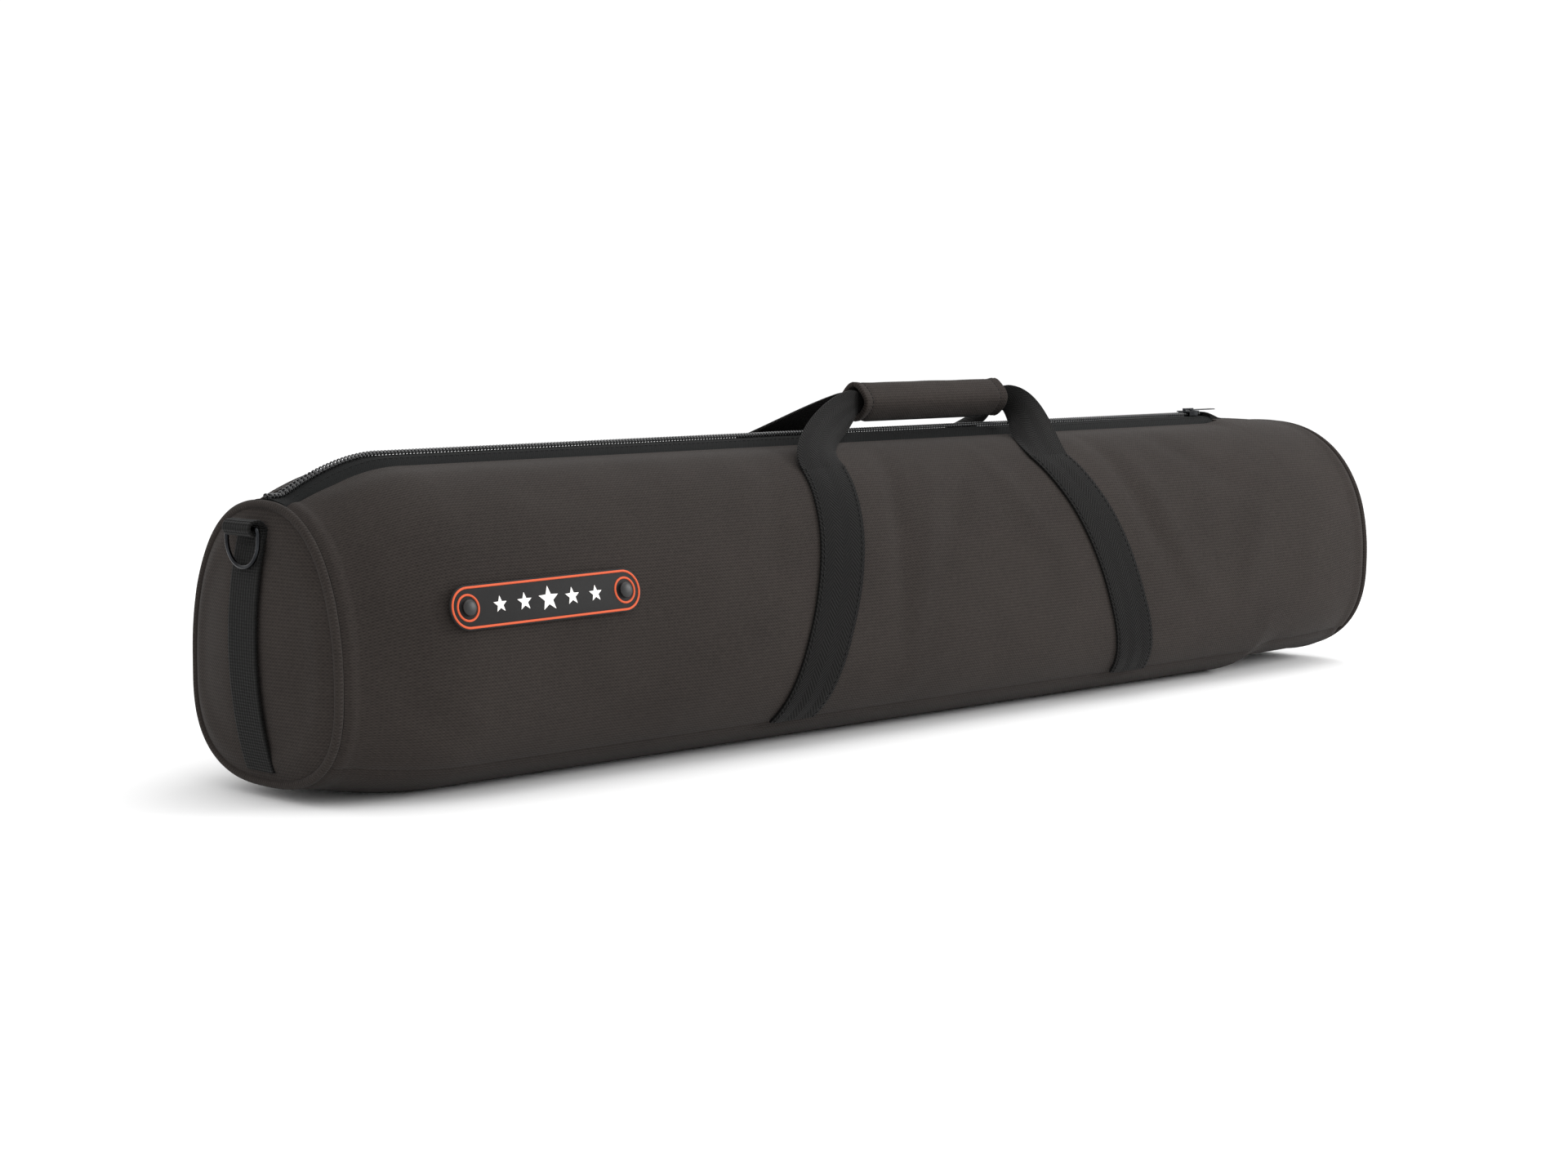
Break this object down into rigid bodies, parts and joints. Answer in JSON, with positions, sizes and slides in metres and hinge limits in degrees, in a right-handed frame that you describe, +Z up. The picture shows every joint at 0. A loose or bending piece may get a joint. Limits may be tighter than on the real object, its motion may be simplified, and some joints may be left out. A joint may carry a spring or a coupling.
{
  "type": "padded tube carry case",
  "caption": "Long soft padded tube case with a flat base, domed ends, a top zip, webbing loops joined by a wrap grip, and a D-ring at each end.",
  "frame": {"origin": "middle of the base, on the surface the case stands on", "axes": "+X runs along the case from the labelled end to the far end, -Y is the labelled front, +Z is up"},
  "size_m": [1.1752, 0.2382, 0.2685],
  "materials": {
    "nylon_fabric": "heavy matte woven nylon, warm black",
    "webbing": "woven nylon webbing, cool black",
    "foam": "closed-cell padding foam",
    "lining_cloth": "smooth thin lining",
    "zip_tape_cloth": "woven zip tape",
    "nylon_coil": "moulded nylon coil",
    "steel_wire": "black nickel plated steel",
    "label_rubber": "soft moulded rubber",
    "orange_rubber": "orange moulded rubber",
    "white_rubber": "white moulded rubber",
    "rivet_black": "black painted rivet",
    "board_plastic": "stiff plastic sheet"
  },
  "bodies": {
    "case": {"near_end_panel": "nylon_fabric", "near_end_padding": "foam", "near_end_lining": "lining_cloth", "near_piping": "nylon_fabric", "near_end_strap": "webbing", "far_end_panel": "nylon_fabric", "far_end_padding": "foam", "far_end_lining": "lining_cloth", "far_piping": "nylon_fabric", "far_end_strap": "webbing", "near_collar_fabric": "nylon_fabric", "near_collar_padding": "foam", "near_collar_lining": "lining_cloth", "far_collar_fabric": "nylon_fabric", "far_collar_padding": "foam", "far_collar_lining": "lining_cloth", "base_panel": "nylon_fabric", "base_padding": "foam", "base_board": "board_plastic", "base_lining": "lining_cloth", "near_zip_tapes": "zip_tape_cloth", "near_zip_coils": "nylon_coil", "far_zip_tapes": "zip_tape_cloth", "far_zip_coils": "nylon_coil", "zip_end_tab": "webbing", "zip_stops": "steel_wire"},
    "front_wall": {"front_wall_fabric": "nylon_fabric", "front_wall_padding": "foam", "front_wall_lining": "lining_cloth", "front_zip_tape": "zip_tape_cloth", "front_zip_coil": "nylon_coil", "front_near_leg": "webbing", "front_far_leg": "webbing", "label_plate": "label_rubber", "label_rim": "orange_rubber", "label_motif": "white_rubber", "label_rivets": "rivet_black"},
    "rear_wall": {"rear_wall_fabric": "nylon_fabric", "rear_wall_padding": "foam", "rear_wall_lining": "lining_cloth", "rear_zip_tape": "zip_tape_cloth", "rear_zip_coil": "nylon_coil", "rear_near_leg": "webbing", "rear_far_leg": "webbing"},
    "handle": {"front_loop": "webbing", "rear_loop": "webbing", "grip_wrap": "nylon_fabric", "grip_loop_strip": "zip_tape_cloth"},
    "grip_flap": {"grip_flap": "nylon_fabric", "grip_hook_strip": "zip_tape_cloth"},
    "zip_slider": {"zip_slider": "steel_wire"},
    "zip_pull": {"zip_pull": "steel_wire"},
    "near_d_ring": {"near_d_ring": "steel_wire"},
    "far_d_ring": {"far_d_ring": "steel_wire"}
  },
  "joints": [
    {"name": "front_wall_open", "type": "hinge", "parent": "case", "child": "front_wall", "pos_m": [0, -0.09303, 0.0212], "axis": [1, 0, 0], "range_deg": [0, 10]},
    {"name": "rear_wall_open", "type": "hinge", "parent": "case", "child": "rear_wall", "pos_m": [0, 0.09303, 0.0212], "axis": [1, 0, 0], "range_deg": [-10, 0]},
    {"name": "handle_lift", "type": "slide", "parent": "case", "child": "handle", "axis": [0, 0, 1], "range_m": [0, 0.025], "deforming": ["front_loop", "rear_loop"]},
    {"name": "grip_flap_open", "type": "hinge", "parent": "handle", "child": "grip_flap", "pos_m": [0.086, 0, 0.2685], "axis": [-1, 0, 0], "range_deg": [0, 150]},
    {"name": "zip_slide", "type": "slide", "parent": "case", "child": "zip_slider", "axis": [-1, 0, 0], "range_m": [0, 0.895]},
    {"name": "zip_pull_swing", "type": "hinge", "parent": "zip_slider", "child": "zip_pull", "pos_m": [0.441, 0, 0.23405], "axis": [0, -1, 0], "range_deg": [0, 180]},
    {"name": "near_d_ring_swing", "type": "hinge", "parent": "case", "child": "near_d_ring", "pos_m": [-0.58348, 0, 0.185], "axis": [0, 1, 0], "range_deg": [0, 120]},
    {"name": "far_d_ring_swing", "type": "hinge", "parent": "case", "child": "far_d_ring", "pos_m": [0.5827, 0, 0.203], "axis": [0, -1, 0], "range_deg": [0, 120]}
  ],
  "couplings": [
    {"joint": "rear_wall_open", "follows": "front_wall_open", "ratio": -1}
  ]
}
